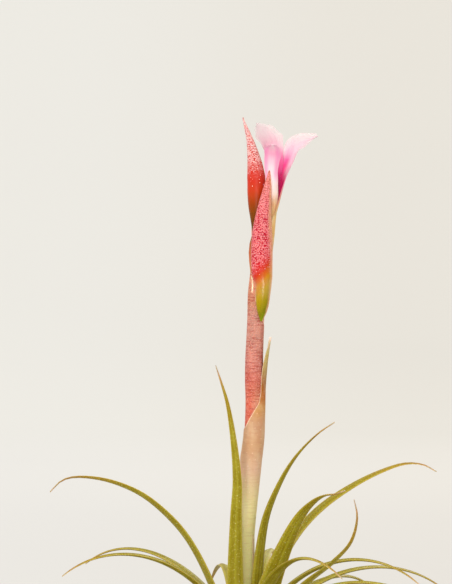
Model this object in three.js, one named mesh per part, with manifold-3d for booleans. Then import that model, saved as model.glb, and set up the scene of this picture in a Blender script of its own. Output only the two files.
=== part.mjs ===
// A small rosette air plant in flower: a short leafy stem, a leaning pink scape wrapped in bracts,
// three floral bracts, one open flower and one bud. Millimetres, +Z up. The origin is the middle of
// the stem's foot, where the plant rests on a flat surface together with its lower leaves.
import * as THREE from "three";
import { mergeVertices } from "three/addons/utils/BufferGeometryUtils.js";
import Module from "manifold-3d";

const wasm = await Module();
wasm.setup();

// Driving dimensions
const CLEARANCE = 0.3; // between neighbouring pieces
const FOOT_TOP = 7; // the woody foot ends here and the green stem begins
const CROWN = 21; // the green stem ends here and the scape begins
const SHOULDER = 64; // the scape's full width ends here, under the open flower
const RACHIS_TOP = 75; // the bud stands here
const NECK = 76.5; // the sepals end here and the petals come out
const THROAT = 80.5; // the petals part above this height
const BLADE = 0.6; // thickness of a bract at its midrib
const MARGIN = 0.34; // and of bracts and petals at their edges
const SLIVER = 0.02; // finer steps than this are smoothed away after a cut
const REST_HEIGHT = 0.09; // a leaf's midrib runs no lower than this over the surface that it rests on

const GOLDEN_ANGLE = 137.508;
const radians = THREE.MathUtils.degToRad;
const mix = THREE.MathUtils.lerp;
const vec = (x, y, z) => new THREE.Vector3(x, y, z);

// A repeatable number from 0 to 1 for leaf number i and purpose k
function chance(i, k) {
  const s = Math.sin(i * 12.9898 + k * 78.233) * 43758.5453;
  return s - Math.floor(s);
}

// The value of a list of [place, value] stops at a place, with straight stretches between them
function along(stops, place) {
  const last = stops.length - 1;
  if (place <= stops[0][0]) return stops[0][1];
  if (place >= stops[last][0]) return stops[last][1];
  const i = stops.findIndex((stop) => stop[0] > place);
  const [a, va] = stops[i - 1];
  const [b, vb] = stops[i];
  return mix(va, vb, (place - a) / (b - a));
}

// Geometry with its index, from points and triangles, turned so that its faces point out
function closedGeometry(points, triangles) {
  let volume = 0;
  const cross = vec(0, 0, 0);
  for (const [a, b, c] of triangles) {
    volume += cross.crossVectors(points[b], points[c]).dot(points[a]);
  }
  const faces = volume < 0 ? triangles.map(([a, b, c]) => [a, c, b]) : triangles;
  const geometry = new THREE.BufferGeometry().setFromPoints(points);
  geometry.setIndex(faces.flat());
  return geometry;
}

// A closed sheet between two grids of points. Both faces are split along the same diagonals.
function sheet(outer, inner) {
  const rows = outer.length;
  const columns = outer[0].length;
  const points = [...outer.flat(), ...inner.flat()];
  const under = (k, i) => k * columns + i;
  const over = (k, i) => rows * columns + under(k, i);
  const triangles = [];
  const quad = (a, b, c, d) => triangles.push([a, b, c], [a, c, d]);
  for (let k = 0; k < rows - 1; k++) {
    for (let i = 0; i < columns - 1; i++) {
      quad(under(k, i), under(k, i + 1), under(k + 1, i + 1), under(k + 1, i));
      triangles.push([over(k, i), over(k + 1, i + 1), over(k, i + 1)]);
      triangles.push([over(k, i), over(k + 1, i), over(k + 1, i + 1)]);
    }
    quad(under(k, 0), under(k + 1, 0), over(k + 1, 0), over(k, 0));
    quad(under(k + 1, columns - 1), under(k, columns - 1), over(k, columns - 1), over(k + 1, columns - 1));
  }
  for (let i = 0; i < columns - 1; i++) {
    quad(under(0, i + 1), under(0, i), over(0, i), over(0, i + 1));
    quad(under(rows - 1, i), under(rows - 1, i + 1), over(rows - 1, i + 1), over(rows - 1, i));
  }
  return closedGeometry(points, triangles);
}

// A blade along stations. Each station has its midrib point on the outer face, its direction, the
// side-to-side vector, the radius of its curled section, half the angle of the curl, and a thickness.
function blade(stations, across) {
  const outer = [];
  const inner = [];
  for (const { point, direction, side, radius, curl, mid = BLADE, edge = MARGIN, wave } of stations) {
    const b = side.clone().addScaledVector(direction, -side.dot(direction)).normalize();
    const n = direction.clone().cross(b).normalize();
    const outerRow = [];
    const innerRow = [];
    for (let i = 0; i <= across; i++) {
      const share = (2 * i) / across - 1;
      const angle = curl * share;
      const local = n.clone().multiplyScalar(Math.cos(angle)).addScaledVector(b, -Math.sin(angle));
      const place = point
        .clone()
        .addScaledVector(b, radius * Math.sin(angle))
        .addScaledVector(n, radius * (1 - Math.cos(angle)));
      if (wave) place.addScaledVector(local, wave(share));
      const thickness = mix(edge, mid, Math.cos((share * Math.PI) / 2));
      outerRow.push(place);
      innerRow.push(place.clone().addScaledVector(local, thickness));
    }
    outer.push(outerRow);
    inner.push(innerRow);
  }
  return sheet(outer, inner);
}

// A closed column through level rings. Each level has a height, a middle and a radius, which may be
// a function of the angle.
function column(levels, sides) {
  const points = [];
  const triangles = [];
  for (const { z, x, y, r } of levels) {
    for (let i = 0; i < sides; i++) {
      const angle = (i / sides) * 2 * Math.PI;
      const radius = typeof r === "function" ? r(angle) : r;
      points.push(vec(x + radius * Math.cos(angle), y + radius * Math.sin(angle), z));
    }
  }
  const first = points.push(vec(levels[0].x, levels[0].y, levels[0].z)) - 1;
  const top = levels[levels.length - 1];
  const last = points.push(vec(top.x, top.y, top.z)) - 1;
  const lastRing = (levels.length - 1) * sides;
  for (let i = 0; i < sides; i++) {
    const next = (i + 1) % sides;
    for (let k = 0; k < levels.length - 1; k++) {
      const a = k * sides;
      triangles.push([a + i, a + next, a + sides + next], [a + i, a + sides + next, a + sides + i]);
    }
    triangles.push([first, next, i], [last, lastRing + i, lastRing + next]);
  }
  return closedGeometry(points, triangles);
}

function solidOf(geometry) {
  const bare = new THREE.BufferGeometry();
  bare.setAttribute("position", geometry.getAttribute("position"));
  bare.setIndex(geometry.index);
  const merged = mergeVertices(bare, 1e-4);
  return new wasm.Manifold(
    new wasm.Mesh({
      numProp: 3,
      vertProperties: merged.attributes.position.array,
      triVerts: new Uint32Array(merged.index.array),
    }),
  );
}

// Joins solids, takes others away, and keeps the largest body, so that no scrap or sliver is left
function fused(geometries, cutters = []) {
  let made = geometries.map(solidOf).reduce((a, b) => a.add(b));
  for (const cutter of cutters) made = made.subtract(solidOf(cutter));
  return made
    .decompose()
    .reduce((a, b) => (b.volume() > a.volume() ? b : a))
    .simplify(SLIVER);
}

function meshOf(name, solid, colour, roughness) {
  const { vertProperties, triVerts, numProp } = solid.getMesh();
  const geometry = new THREE.BufferGeometry();
  const stride = new THREE.InterleavedBuffer(new Float32Array(vertProperties), numProp);
  geometry.setAttribute("position", new THREE.InterleavedBufferAttribute(stride, 3, 0));
  geometry.setIndex(new THREE.BufferAttribute(new Uint32Array(triVerts), 1));
  const plain = geometry.toNonIndexed();
  plain.computeVertexNormals();
  const material = new THREE.MeshStandardMaterial({ color: colour, roughness, metalness: 0 });
  const mesh = new THREE.Mesh(plain, material);
  mesh.name = name;
  return mesh;
}

// Stations along a smooth curve through points, for a blade that grows on the side that azimuth names.
// section takes the share of the length and the place, and gives the rest of what a station holds.
// tilt lifts the margin that lies anticlockwise of the midrib, and lowers the other.
function stationsOn(path, azimuth, count, section, tilt = 0) {
  const curve = new THREE.CatmullRomCurve3(path.map((p) => vec(...p)), false, "centripetal");
  const turn = radians(azimuth);
  const side = vec(-Math.sin(turn), Math.cos(turn), Math.tan(radians(tilt)));
  return Array.from({ length: count + 1 }, (_, k) => {
    const share = k / count;
    const point = curve.getPointAt(share);
    const direction = curve.getTangentAt(share);
    return { point, direction, side, ...section(share, point) };
  });
}

// Leaves: a sheath clasping the stem, then a narrow triangular blade that tapers to a thread
const LEAF_HALF = [[0, 2.3], [0.14, 1.5], [1, 0.16]]; // half width: sheath, base of the blade, tip
const LEAF_CURL = [[0, 62], [0.3, 40]];
const LEAF_MID = [[0, 0.95], [1, 0.42]]; // thickness at the midrib
const LEAF_EDGE = [[0, 0.45], [1, 0.3]]; // and at the margins
const LEAF_STATIONS = 10;
const LEAF_ACROSS = 2;

function leafSection(breadth = 1) {
  return (share) => {
    const curl = radians(along(LEAF_CURL, share));
    return {
      radius: (breadth * along(LEAF_HALF, share)) / curl,
      curl,
      mid: along(LEAF_MID, share),
      edge: along(LEAF_EDGE, share),
    };
  };
}

// Keeps a leaf on or above the resting surface
function laidDown(geometry) {
  const place = geometry.getAttribute("position");
  for (let i = 0; i < place.count; i++) place.setZ(i, Math.max(0, place.getZ(i)));
  return geometry;
}

// A leaf that follows a rule: it leaves the stem at one angle above the horizon and bends to another
function ruledLeaf({ azimuth, height, start, end, length, sway, reach }) {
  const turn = radians(azimuth);
  const steps = 24;
  const point = vec(reach * Math.cos(turn), reach * Math.sin(turn), height);
  const path = [point.toArray()];
  for (let k = 0; k < steps; k++) {
    const share = (k + 0.5) / steps;
    const rise = radians(mix(start, end, share ** 1.25));
    const heading = turn + radians(sway) * share ** 2;
    const step = length / steps;
    point.x += step * Math.cos(rise) * Math.cos(heading);
    point.y += step * Math.cos(rise) * Math.sin(heading);
    point.z = Math.max(REST_HEIGHT, point.z + step * Math.sin(rise));
    path.push(point.toArray());
  }
  return laidDown(blade(stationsOn(path, azimuth, LEAF_STATIONS, leafSection()), LEAF_ACROSS));
}

// Leaves that stand above the rosette, each with the side it grows on, its tilt, its breadth against
// the others and its own path
const TALL_LEAVES = [
  // upright, at the front left of the scape
  [-100, 0, 1.14, [[-0.8, -1.7, 15], [-1.4, -2.5, 24], [-1.33, -2.9, 35], [-1.14, -3, 40],
    [-1.53, -3, 45], [-2.43, -3.1, 50.8], [-3.22, -3.2, 53.6], [-4.1, -3.3, 56.3]]],
  // rising to the right
  [-40, 0, 1.3, [[1.5, -0.9, 16], [1.9, -1.5, 25], [2.25, -1.8, 31], [2.9, -2.2, 35.1],
    [5.2, -3, 40.3], [6.8, -3.5, 43.1], [8.38, -4, 45.1], [10.35, -4.6, 47], [12.4, -5.2, 48.45]]],
  // arching to the left
  [180, 30, 1.4, [[-1.9, 0.2, 14], [-3.4, 0.5, 20.5], [-5.8, 0.8, 27], [-8.4, 1, 31.8], [-11, 1, 34.9],
    [-14.4, 1, 37.75], [-17.8, 1, 39.4], [-21, 0.9, 40.25], [-24.2, 0.7, 40.42], [-25.7, 0.6, 39.95],
    [-27.3, 0.5, 38.4]]],
  // arching to the right
  [8, 26, 1.35, [[1.9, 0.2, 15], [3.1, 0.4, 21.5], [5.2, 0.8, 28], [7.8, 1.3, 32.6], [10.8, 1.8, 35.85],
    [14.6, 2.4, 38.6], [18.7, 3, 40.8], [22.7, 3.6, 42.15], [25.2, 4, 42], [27.1, 4.3, 41]]],
  // towards the front and to the right
  [-80, 0, 1.45, [[1.2, -1.5, 16], [2.4, -3, 22], [4.8, -5.6, 29.4], [7.5, -8.8, 35.55],
    [9.42, -11.2, 37.9], [10.75, -12.8, 38.8], [12, -14.2, 39.1], [13.4, -15.4, 39.7]]],
  // low, with its tip turned up
  [-58, 0, 1, [[1.1, -1.7, 12], [3.6, -5.6, 19], [7.6, -12, 26], [11.8, -18.6, 30.4], [14, -22.4, 33.6],
    [14.65, -23.8, 36.9], [14.2, -24.4, 39.2]]],
];

const RULED_LEAVES = 40;
const LOWEST_LEAF = 7.9;
const HIGHEST_LEAF = 18.4;

function ruledLeaves() {
  return Array.from({ length: RULED_LEAVES }, (_, i) => {
    const age = 1 - i / (RULED_LEAVES - 1); // 1 for the oldest leaf, which is the lowest
    return ruledLeaf({
      azimuth: i * GOLDEN_ANGLE + 20 + 16 * (chance(i, 1) - 0.5),
      height: mix(HIGHEST_LEAF, LOWEST_LEAF, age),
      start: mix(64, 6, age) + 10 * (chance(i, 2) - 0.5),
      end: mix(-36, -50, age) + 24 * (chance(i, 3) - 0.5),
      length: mix(31, 36.5, age) + 5 * (chance(i, 4) - 0.5),
      sway: 34 * (chance(i, 5) - 0.5),
      reach: mix(1.75, 2.1, age),
    });
  });
}

function leafRosette() {
  const stem = column(
    [
      { z: FOOT_TOP, x: 0, y: 0, r: 2.7 },
      { z: 13, x: 0, y: 0, r: 2.6 },
      { z: CROWN, x: 0, y: 0, r: 2.1 },
    ],
    12,
  );
  const tall = TALL_LEAVES.map(([azimuth, tilt, breadth, path]) =>
    blade(stationsOn(path, azimuth, LEAF_STATIONS + 2, leafSection(breadth), tilt), LEAF_ACROSS),
  );
  return fused([stem, ...tall, ...ruledLeaves()], [scapeColumn(CLEARANCE, CROWN), footColumn(CLEARANCE)]);
}

// The woody foot with withered leaves that hang down to the surface
const WITHERED_LEAVES = 13;

function footColumn(grow) {
  return column(
    [
      { z: 0, x: 0, y: 0, r: 2.3 + grow },
      { z: 2, x: 0, y: 0, r: 2.9 + grow },
      { z: FOOT_TOP, x: 0, y: 0, r: 2.7 + grow },
    ],
    12,
  );
}

function stemFoot() {
  const withered = Array.from({ length: WITHERED_LEAVES }, (_, i) =>
    ruledLeaf({
      azimuth: i * GOLDEN_ANGLE + 75,
      height: mix(2.2, 4.8, i / WITHERED_LEAVES),
      start: -18 + 16 * (chance(i, 6) - 0.5),
      end: 30 * (chance(i, 7) - 0.6),
      length: 13 + 7 * chance(i, 8),
      sway: 90 * (chance(i, 9) - 0.5),
      reach: 2.1,
    }),
  );
  return fused([footColumn(0), ...withered]);
}

// The scape leans: its middle and outer radius at each height, bracts included
const SCAPE_X = [[CROWN, 0], [28, 0.05], [35, 0.18], [43, 0.84], [46, 1.21], [51.4, 1.41], [57, 1.36],
  [60, 1.52], [SHOULDER, 1.74]];
const SCAPE_RADIUS = [[CROWN, 1.2], [28, 1.28], [35, 1.37], [43, 1.54], [46, 1.49], [51.4, 1.42],
  [57, 1.26], [60, 1.24], [SHOULDER, 1.3]];
const BRACT_RELIEF = 0.2; // how far a scape bract stands out of the scape

function scapeColumn(grow, from = CROWN) {
  const heights = SCAPE_X.map(([z]) => z);
  return column(
    heights.map((z, i) => ({
      z: i === 0 ? from : z + (i === heights.length - 1 ? grow : 0),
      x: along(SCAPE_X, z),
      y: 0,
      r: along(SCAPE_RADIUS, z) - BRACT_RELIEF * (grow ? 0 : 1) + grow,
    })),
    16,
  );
}

// The rachis goes on behind the open flower and ends under the bud
const RACHIS = [
  { z: 60, x: 1.45, y: 0.1, r: 0.8 },
  { z: 66, x: 1.4, y: 0.55, r: 0.62 },
  { z: 69.5, x: 1.26, y: 0.7, r: 0.53 },
  { z: 72, x: 1.08, y: 0.85, r: 0.54 },
  { z: 73.3, x: 1.2, y: 0.95, r: 0.52 },
  { z: RACHIS_TOP, x: 1.6, y: 1.2, r: 0.5 },
];

function rachis(grow) {
  return column(RACHIS.map(({ z, x, y, r }) => ({ z, x, y, r: r + grow })), 12);
}

// A scape bract clasps the scape on the side that azimuth names, from one height to another. Its
// margins wrap round by an angle that shrinks upwards, and the tip stands off by lift.
function scapeBract({ azimuth, from, to, wrap, lift, tip }) {
  const turn = radians(azimuth);
  const path = [];
  for (let k = 0; k <= 8; k++) {
    const share = k / 8;
    const z = mix(from, to, share);
    const out = along(SCAPE_RADIUS, z) + along(lift, share);
    const x = along(SCAPE_X, Math.min(z, SHOULDER)) + out * Math.cos(turn);
    path.push([x, out * Math.sin(turn), z]);
  }
  const section = (share, point) => ({
    radius: mix(along(SCAPE_RADIUS, point.z), tip, share ** 4),
    curl: radians(along(wrap, share)),
    mid: BLADE,
    edge: MARGIN,
  });
  return blade(stationsOn(path, azimuth, 12, section), 8);
}

const SCAPE_BRACTS = [
  // the lowest, green and leaf-like, hidden in the crown
  { azimuth: 150, from: 22.5, to: 42, wrap: [[0, 150], [0.55, 120], [0.8, 50], [1, 12]],
    lift: [[0, 0], [0.7, 0.05], [1, 0.5]], tip: 0.5 },
  // pale, with a green blade that stands up on the right
  { azimuth: -8, from: 32, to: 60.2,
    wrap: [[0, 176], [0.53, 174], [0.608, 118], [0.635, 96], [0.666, 66], [0.918, 72], [0.965, 58], [1, 20]],
    lift: [[0, 0], [0.6, 0.04], [0.78, 0.2], [0.845, 0.48], [0.92, 0.76], [1, 0.95]], tip: 0.4 },
  // pink, on the left under the floral bracts
  { azimuth: 190, from: 45, to: 69.3,
    wrap: [[0, 165], [0.69, 165], [0.785, 92], [0.84, 80], [0.96, 76], [0.985, 60], [1, 36]],
    lift: [[0, 0], [0.6, 0.1], [0.85, 0.08], [0.94, -0.04], [1, -0.3]], tip: 1 },
];

function scape() {
  return fused([scapeColumn(0), rachis(0), ...SCAPE_BRACTS.map(scapeBract)]);
}

// Floral bracts: boat-shaped, each with the path of its keel and the half width at its places
const FLORAL_BRACTS = {
  floral_bract_front: {
    azimuth: -92,
    path: [[2.26, -2.15, 62.4], [2.4, -2.4, 64.6], [2.47, -2.48, 66.4], [2.53, -2.48, 67.6],
      [2.34, -2.38, 69.4], [2.3, -2.25, 71.4], [2.34, -2.1, 73.8], [2.48, -1.9, 76.6],
      [2.85, -1.65, 79.4], [3.25, -1.35, 82], [3.5, -1.15, 84]],
    half: [[0, 0.16], [0.05, 0.66], [0.1, 0.9], [0.185, 1.1], [0.24, 1.18], [0.29, 1.42], [0.34, 1.52],
      [0.42, 1.56], [0.52, 1.54], [0.6, 1.4], [0.68, 1.18], [0.79, 0.85], [0.87, 0.57], [0.93, 0.32],
      [1, 0.14]],
    wrap: 76,
    colour: 0xe0707a,
  },
  floral_bract_left: {
    azimuth: -108,
    path: [[1.45, 0.1, 73.6], [1.45, -0.12, 76], [1.25, -0.22, 79], [1.23, -0.32, 82.2],
      [1.03, -0.35, 85], [0.55, -0.35, 87.8], [-0.35, -0.25, 90.9]],
    half: [[0, 0.3], [0.12, 0.8], [0.25, 1.12], [0.4, 1.34], [0.52, 1.34], [0.62, 1.12], [0.72, 0.8],
      [0.82, 0.5], [0.9, 0.3], [1, 0.12]],
    wrap: 80,
    colour: 0xdb4c40,
  },
  floral_bract_back: {
    azimuth: 100,
    path: [[1.8, 1.9, 70.2], [1.9, 2.5, 72.6], [2, 2.95, 75.6], [2, 3.3, 79], [1.8, 3.4, 82],
      [1.6, 3.3, 84.8]],
    half: [[0, 0.3], [0.15, 0.85], [0.35, 1.14], [0.55, 1.2], [0.75, 0.8], [0.9, 0.38], [1, 0.14]],
    wrap: 74,
    colour: 0xdc5f5c,
  },
};

function floralBract({ azimuth, path, half, wrap }, cutters) {
  const section = (share) => ({ radius: along(half, share), curl: radians(wrap) });
  return fused([blade(stationsOn(path, azimuth, 15, section), 8)], cutters);
}

// The flower leans: the middle of its sepals and tube at each height
const FLOWER_X = [[SHOULDER, 2.2], [68, 2.57], [71, 3], [NECK, 3.64], [THROAT, 4.1], [84.5, 4.25]];
const FLOWER_Y = [[SHOULDER, -0.35], [66, -0.1], [71, 0.1], [NECK, 0.1], [84.5, 0.05]];
const SEPAL_RADIUS = [[SHOULDER, 0.36], [66, 0.56], [70, 0.72], [74, 0.74], [NECK, 0.68]];
const SEPAL_KEEL = 0.06;

function flowerLevels(heights, radius) {
  return heights.map((z) => ({ z, x: along(FLOWER_X, z), y: along(FLOWER_Y, z), r: radius(z) }));
}

function calyx(grow) {
  const keeled = (z) => (angle) => along(SEPAL_RADIUS, z) + SEPAL_KEEL * Math.cos(3 * angle) + grow;
  return column(flowerLevels([SHOULDER, 65, 66, 68, 70, 72, 74, NECK], keeled), 18);
}

// Petals: a narrow claw in the tube, a throat, and a blade that spreads. The path is the midrib's.
const PETALS = [
  // on the right: bends over to lie nearly level
  { azimuth: 32, tilt: 28, width: [[0.14, 1.1], [0.4, 1.2], [0.55, 1.02], [0.75, 0.94], [1, 0.9]],
    path: [[4.55, 0.45, 78.6], [5.1, 0.76, 81], [5.66, 1.02, 83.2], [6.35, 1.3, 85], [7.1, 1.6, 86.8],
      [8.3, 1.85, 87.75], [9.4, 2, 88.2], [10.2, 2.1, 88.45]] },
  // at the back left: stands up
  { azimuth: 115, tilt: 24, width: [[0.35, 0.92], [0.6, 1], [0.78, 1.38]],
    path: [[3.7, 0.66, 78.6], [3.85, 0.95, 81], [4, 1.3, 84], [3.74, 1.7, 86.2], [3.15, 2.2, 87.9],
      [2.5, 2.7, 89.2], [1.8, 3.1, 90.3]] },
  // at the front: its tip is turned out
  { azimuth: -104, tilt: 0, width: [[0.14, 0.95], [0.3, 0.88], [0.5, 0.66], [0.7, 0.64], [1, 0.72]],
    path: [[3.78, -0.62, 78.6], [3.68, -0.92, 81], [3.6, -1.25, 83.6], [3.7, -1.8, 85.4],
      [3.78, -2.5, 86.4], [3.82, -3.3, 86.9]] },
];
const PETAL_HALF = [[0, 1.05], [0.14, 1.12], [0.3, 1.16], [0.55, 1.6], [0.78, 1.95], [0.92, 1.4], [1, 0.5]];
const PETAL_CURL = [[0, 80], [0.14, 74], [0.3, 58], [0.6, 38], [1, 22]];
const PETAL_RIPPLE = 0.2; // height of the waves at a petal's margin

function petal({ azimuth, tilt, width, path }, number) {
  const section = (share) => {
    const curl = radians(along(PETAL_CURL, share));
    const ripple = PETAL_RIPPLE * along([[0.5, 0], [1, 1]], share);
    const wave = (side) => ripple * side ** 2 * Math.sin(share * 17 + side * 2 + number * 1.7);
    const half = along(PETAL_HALF, share) * along(width, share);
    return { radius: half / curl, curl, mid: 0.5, edge: MARGIN, wave };
  };
  return blade(stationsOn(path, azimuth, 12, section, tilt), 4);
}

const NECK_RADIUS = [[NECK, 0.56], [78.5, 0.68], [THROAT, 0.82]];

function corolla() {
  const neck = column(flowerLevels([NECK, 78.5, THROAT], (z) => along(NECK_RADIUS, z)), 14);
  return fused([neck, ...PETALS.map(petal)]);
}

// Six anthers round the style, standing in the throat
const STYLE_RADIUS = [[THROAT, 0.26], [82.6, 0.26], [84, 0.2]];
const ANTHERS = 6;
const ANTHER_RADIUS = 0.17;
const ANTHER_STRETCH = 2.6;
const ANTHER_HEIGHT = 83;
const ANTHER_RING = 0.28;

function stamens() {
  const levels = [THROAT + CLEARANCE, 82.6, 84];
  const style = column(flowerLevels(levels, (z) => along(STYLE_RADIUS, z)), 8);
  const anthers = Array.from({ length: ANTHERS }, (_, i) => {
    const angle = (i / ANTHERS) * 2 * Math.PI;
    const z = ANTHER_HEIGHT + ANTHER_RADIUS * 2 * (i % 2);
    const anther = new THREE.SphereGeometry(ANTHER_RADIUS, 6, 5).scale(1, 1, ANTHER_STRETCH);
    const x = along(FLOWER_X, z) + ANTHER_RING * Math.cos(angle);
    const y = along(FLOWER_Y, z) + ANTHER_RING * Math.sin(angle);
    return anther.translate(x, y, z);
  });
  return fused([style, ...anthers]);
}

// The closed bud in the left bract
const BUD = [
  { z: RACHIS_TOP, x: 1.6, y: 1.2, r: 0.36 },
  { z: 77, x: 1.55, y: 1.17, r: 0.5 },
  { z: 80, x: 1.45, y: 1.13, r: 0.54 },
  { z: 83, x: 1.35, y: 1.09, r: 0.42 },
  { z: 85.6, x: 1.25, y: 1.05, r: 0.12 },
];

function bud(grow) {
  return column(BUD.map(({ z, x, y, r }) => ({ z, x, y, r: r + grow })), 12);
}

const plant = new THREE.Group();
plant.name = "air_plant";
const clearOfFlower = [scapeColumn(CLEARANCE), calyx(CLEARANCE), rachis(CLEARANCE), bud(CLEARANCE)];
plant.add(
  meshOf("stem_foot", stemFoot(), 0x8a7350, 0.9),
  meshOf("leaf_rosette", leafRosette(), 0x8e9440, 0.7),
  meshOf("scape", scape(), 0xd88c7e, 0.6),
  ...Object.entries(FLORAL_BRACTS).map(([name, bract]) =>
    meshOf(name, floralBract(bract, clearOfFlower), bract.colour, 0.5),
  ),
  meshOf("sepals", fused([calyx(0)], [rachis(CLEARANCE)]), 0xd8c48a, 0.5),
  meshOf("petals", corolla(), 0xf0a0c4, 0.5),
  meshOf("stamens_and_style", stamens(), 0xe6d690, 0.7),
  meshOf("flower_bud", fused([bud(0)]), 0xdcb89a, 0.5),
);

export default plant;
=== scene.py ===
"""The finish of a small rosette air plant in flower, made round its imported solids.

Lengths are in millimetres until a mesh is made, and each mesh is in metres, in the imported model's
frame: +Z up, with the origin in the middle of the stem's foot, where the plant rests.
"""
from functools import partial
from math import atan2, cos, floor, hypot, pi, radians, sin, tan

import bpy
import numpy as np
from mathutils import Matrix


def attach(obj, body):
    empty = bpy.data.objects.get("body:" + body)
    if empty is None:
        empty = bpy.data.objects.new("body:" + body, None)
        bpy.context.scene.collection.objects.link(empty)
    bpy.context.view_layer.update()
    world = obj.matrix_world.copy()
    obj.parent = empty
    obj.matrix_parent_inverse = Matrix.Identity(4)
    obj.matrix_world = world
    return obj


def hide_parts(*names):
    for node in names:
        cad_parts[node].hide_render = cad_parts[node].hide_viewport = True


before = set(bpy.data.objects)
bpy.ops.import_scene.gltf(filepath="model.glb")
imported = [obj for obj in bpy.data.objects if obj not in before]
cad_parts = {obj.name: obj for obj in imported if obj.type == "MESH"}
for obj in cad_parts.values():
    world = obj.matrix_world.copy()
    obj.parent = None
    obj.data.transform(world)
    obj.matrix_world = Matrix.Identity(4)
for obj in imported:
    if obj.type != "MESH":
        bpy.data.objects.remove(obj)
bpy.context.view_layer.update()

MM = 0.001
GOLDEN_ANGLE = 137.508


def link(thing):
    bpy.context.scene.collection.objects.link(thing)
    return thing


def chance(i, k):
    """A repeatable number from 0 to 1 for leaf number i and purpose k, as the solids have it."""
    s = sin(i * 12.9898 + k * 78.233) * 43758.5453
    return s - floor(s)


def mix(a, b, share):
    return a + (b - a) * share


def along(stops, place):
    """The value of a list of (place, value) stops at one place or many."""
    places, values = zip(*stops)
    return np.interp(place, places, values)


# Curves, blades and tubes

FINE_STEPS = 30  # steps between two points of a path, before the curve is divided evenly


def curve_through(path, count):
    """Points and directions at count + 1 even places on a smooth curve through the path."""
    knots = np.array(path, float)
    knots = np.vstack([2 * knots[0] - knots[1], knots, 2 * knots[-1] - knots[-2]])
    spans = np.linalg.norm(np.diff(knots, axis=0), axis=1) ** 0.5
    t = np.linspace(0, 1, FINE_STEPS, endpoint=False)[:, None]
    fine = []
    for i in range(1, len(knots) - 2):
        p0, p1, p2, p3 = knots[i - 1 : i + 3]
        d0, d1, d2 = spans[i - 1 : i + 2]
        leave = ((p1 - p0) / d0 - (p2 - p0) / (d0 + d1) + (p2 - p1) / d1) * d1
        arrive = ((p2 - p1) / d1 - (p3 - p1) / (d1 + d2) + (p3 - p2) / d2) * d1
        square = 3 * (p2 - p1) - 2 * leave - arrive
        cube = 2 * (p1 - p2) + leave + arrive
        fine.append(p1 + leave * t + square * t**2 + cube * t**3)
    fine = np.vstack([*fine, knots[-2:-1]])
    length = np.concatenate([[0], np.cumsum(np.linalg.norm(np.diff(fine, axis=0), axis=1))])
    places = np.linspace(0, length[-1], count + 1)
    points = np.column_stack([np.interp(places, length, fine[:, k]) for k in range(3)])
    directions = np.gradient(points, axis=0)
    return points, directions / np.linalg.norm(directions, axis=1)[:, None]


class Patch:
    """A closed part of a piece: points, faces that point out, and numbers at one or every point."""

    def __init__(self, points, faces, **numbers):
        self.points = np.asarray(points, float)
        self.faces = [tuple(face) for face in faces]
        self.numbers = {key: np.broadcast_to(value, len(points)) for key, value in numbers.items()}
        volume = 0.0
        for face in self.faces:
            a, b, c = self.points[face[0]], self.points[face[1]], self.points[face[2]]
            volume += np.dot(a, np.cross(b, c))
            if len(face) == 4:
                volume += np.dot(a, np.cross(c, self.points[face[3]]))
        if volume < 0:
            self.faces = [face[::-1] for face in self.faces]


def sheet_faces(rows, columns):
    """Quads of a closed sheet between two grids of points, the outer grid first."""
    grid = np.arange(2 * rows * columns).reshape(2, rows, columns)
    faces = []
    for k in range(rows - 1):
        for i in range(columns - 1):
            a, b, c, d = grid[0, k : k + 2, i : i + 2].ravel()
            faces.append((a, b, d, c))
            a, b, c, d = grid[1, k : k + 2, i : i + 2].ravel()
            faces.append((a, c, d, b))
        for i, turn in ((0, 1), (columns - 1, -1)):
            edge = (grid[0, k, i], grid[0, k + 1, i], grid[1, k + 1, i], grid[1, k, i])
            faces.append(edge[::turn])
    for i in range(columns - 1):
        for k, turn in ((0, -1), (rows - 1, 1)):
            edge = (grid[0, k, i], grid[0, k, i + 1], grid[1, k, i + 1], grid[1, k, i])
            faces.append(edge[::turn])
    return faces


def blade(path, azimuth, count, across, section, tilt=0.0, tint=0.5):
    """A curled blade along a path that grows on the side that azimuth names.

    section takes the shares of the length and the sides, and gives the radius of the curled section,
    half the angle of its curl, its thickness at the midrib and at the margins, and its waves.
    """
    points, directions = curve_through(path, count)
    turn = radians(azimuth)
    side = np.array([-sin(turn), cos(turn), tan(radians(tilt))])
    b = side - (directions @ side)[:, None] * directions
    b /= np.linalg.norm(b, axis=1)[:, None]
    n = np.cross(directions, b)
    share = np.linspace(0, 1, count + 1)[:, None]
    sides = np.linspace(-1, 1, across + 1)[None, :]
    shape = (count + 1, across + 1)
    form = {key: np.broadcast_to(value, shape) for key, value in section(share, sides).items()}
    angle = form["curl"] * sides
    local = np.cos(angle)[..., None] * n[:, None] - np.sin(angle)[..., None] * b[:, None]
    outer = points[:, None] + (form["radius"] * np.sin(angle))[..., None] * b[:, None]
    outer = outer + (form["radius"] * (1 - np.cos(angle)))[..., None] * n[:, None]
    if "wave" in form:
        outer = outer + form["wave"][..., None] * local
    thickness = mix(form["edge"], form["mid"], np.cos(sides * pi / 2))
    inner = outer + thickness[..., None] * local
    return Patch(
        np.vstack([outer.reshape(-1, 3), inner.reshape(-1, 3)]),
        sheet_faces(*shape),
        along=np.tile(np.broadcast_to(share, shape).ravel(), 2),
        across=np.tile(np.broadcast_to(sides, shape).ravel(), 2),
        inner=np.repeat([0.0, 1.0], angle.size),
        tint=tint,
    )


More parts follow.
